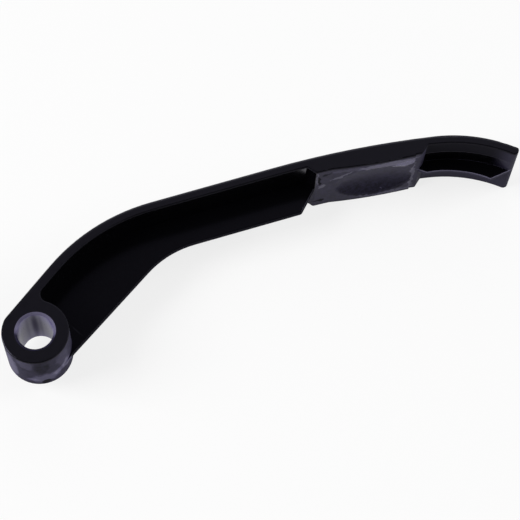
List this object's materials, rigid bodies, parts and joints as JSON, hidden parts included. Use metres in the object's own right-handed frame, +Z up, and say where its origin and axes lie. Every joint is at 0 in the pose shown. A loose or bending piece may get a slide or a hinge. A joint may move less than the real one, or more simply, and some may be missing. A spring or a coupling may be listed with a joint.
{
  "type": "oil pump chain guide",
  "caption": "Curved black plastic guide for an oil pump chain, with a bored pivot boss at one end and a dished bearing pad on its back.",
  "frame": {"origin": "on the axis of the pivot bore, in the plane of the boss's lower face", "axes": "+X along the rail's straight stretch from the boss to the nose, +Y towards the chain's side, +Z up along the bore"},
  "size_m": [0.1252, 0.0301, 0.018],
  "materials": {
    "moulding": "black moulded plastic, satin, with scuffs on the boss and the bearing pad"
  },
  "bodies": {
    "root": {"chain_guide": "moulding"}
  },
  "joints": []
}
